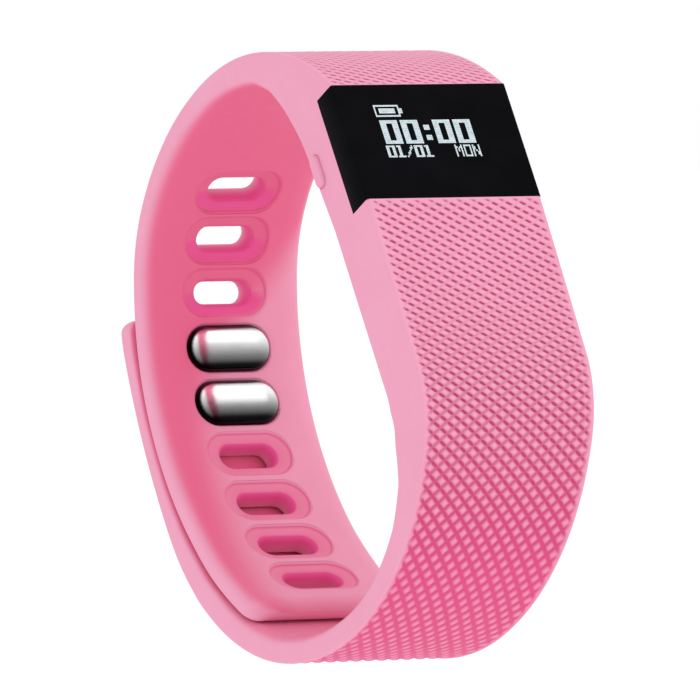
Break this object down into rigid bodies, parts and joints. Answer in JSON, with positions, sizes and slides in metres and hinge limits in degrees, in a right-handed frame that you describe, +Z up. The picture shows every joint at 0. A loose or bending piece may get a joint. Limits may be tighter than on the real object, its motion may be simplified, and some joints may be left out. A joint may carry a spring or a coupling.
{
  "type": "fitness tracker band",
  "caption": "Closed wrist-worn activity tracker: soft textured band with a black display window, side button, adjusting slots and a press-stud clasp.",
  "frame": {"origin": "centre of the wrist loop, midway across the band", "axes": "+X along the wrist, across the band; +Y towards the side with the display; +Z up as the band is shown, towards the top of the loop"},
  "size_m": [0.02, 0.0564, 0.0585],
  "materials": {
    "soft_band": "matte moulded, fine diamond texture outside",
    "window": "smooth satin black",
    "black_plastic": "fine satin",
    "studs": "polished steel",
    "steel": "plain",
    "glass_panel": "dark display glass",
    "flex": "amber film",
    "board": "green solder mask",
    "chips": "moulded",
    "ceramic": "ceramic",
    "foil": "laminated foil",
    "wire": "insulated wire",
    "gold": "gold plated",
    "seal": "soft",
    "switch_plastic": "moulded",
    "switch_red": "moulded"
  },
  "bodies": {
    "tracker": {"band_sleeve": "soft_band", "display_window": "window", "window_gasket": "seal", "oled_panel": "glass_panel", "oled_flex": "flex", "core_tray": "black_plastic", "core_cover": "black_plastic", "main_board": "board", "board_screws": "steel", "processor_chip": "chips", "motion_sensor": "chips", "memory_chip": "chips", "crystal_can": "steel", "board_passives": "ceramic", "chip_antenna": "ceramic", "battery_cell": "foil", "battery_board": "board", "battery_leads": "wire", "motor_case": "steel", "motor_shaft": "steel", "motor_lid": "steel", "button_seal": "seal", "switch_body": "switch_plastic", "contact_block": "black_plastic", "charging_contacts": "gold"},
    "slot_strap_upper": {"slot_strap_top": "soft_band"},
    "slot_strap_lower": {"slot_strap_back": "soft_band", "slot_strap_clasped": "soft_band", "slot_strap_tail": "soft_band"},
    "clasp_strap_upper": {"clasp_strap_front": "soft_band"},
    "clasp_strap_lower": {"clasp_strap_under": "soft_band"},
    "clasp_end": {"clasp_strap_tip": "soft_band", "clasp_anchor": "steel", "clasp_studs": "studs"},
    "motor_weight": {"motor_rotor": "steel"},
    "button": {"side_button": "soft_band"},
    "switch_pin": {"switch_plunger": "switch_red"}
  },
  "joints": [
    {"name": "strap_open", "type": "hinge", "parent": "tracker", "child": "clasp_strap_upper", "pos_m": [0, 0.02119, -0.01751], "axis": [1, 0, 0], "range_deg": [0, 36], "stiffness_Nm_per_rad": 0.35, "springref_deg": -34.38},
    {"name": "clasp_strap_bend", "type": "hinge", "parent": "clasp_strap_upper", "child": "clasp_strap_lower", "pos_m": [0, 0.00303, -0.02832], "axis": [1, 0, 0], "range_deg": [0, 36], "stiffness_Nm_per_rad": 0.35, "springref_deg": -34.38},
    {"name": "slot_strap_lift", "type": "hinge", "parent": "tracker", "child": "slot_strap_upper", "pos_m": [0, -0.00819, 0.02639], "axis": [-1, 0, 0], "range_deg": [0, 18], "stiffness_Nm_per_rad": 0.35, "springref_deg": -34.38},
    {"name": "slot_strap_bend", "type": "hinge", "parent": "slot_strap_upper", "child": "slot_strap_lower", "pos_m": [0, -0.01918, 0.02019], "axis": [-1, 0, 0], "range_deg": [0, 10.8], "stiffness_Nm_per_rad": 0.35, "springref_deg": -34.38},
    {"name": "clasp_peel", "type": "hinge", "parent": "clasp_strap_lower", "child": "clasp_end", "pos_m": [0, -0.02075, -0.01561], "axis": [1, 0, 0], "range_deg": [0, 25], "stiffness_Nm_per_rad": 0.35, "springref_deg": -34.38, "deforming": ["slot_strap_clasped"]},
    {"name": "button_press", "type": "slide", "parent": "tracker", "child": "button", "axis": [-1, 0, 0], "range_m": [0, 0.00025], "stiffness_N_per_m": 400, "springref_m": -0.0005},
    {"name": "switch_press", "type": "slide", "parent": "tracker", "child": "switch_pin", "axis": [-1, 0, 0], "range_m": [0, 0.00025]},
    {"name": "motor_spin", "type": "hinge", "parent": "tracker", "child": "motor_weight", "pos_m": [-0.0039, 0.0092, 0.01894], "axis": [0, 0.8526, 0.5225], "continuous": true}
  ],
  "couplings": [
    {"joint": "clasp_strap_bend", "follows": "strap_open", "ratio": 1},
    {"joint": "slot_strap_lift", "follows": "strap_open", "ratio": 0.5},
    {"joint": "slot_strap_bend", "follows": "strap_open", "ratio": 0.3},
    {"joint": "switch_press", "follows": "button_press", "ratio": 1}
  ]
}
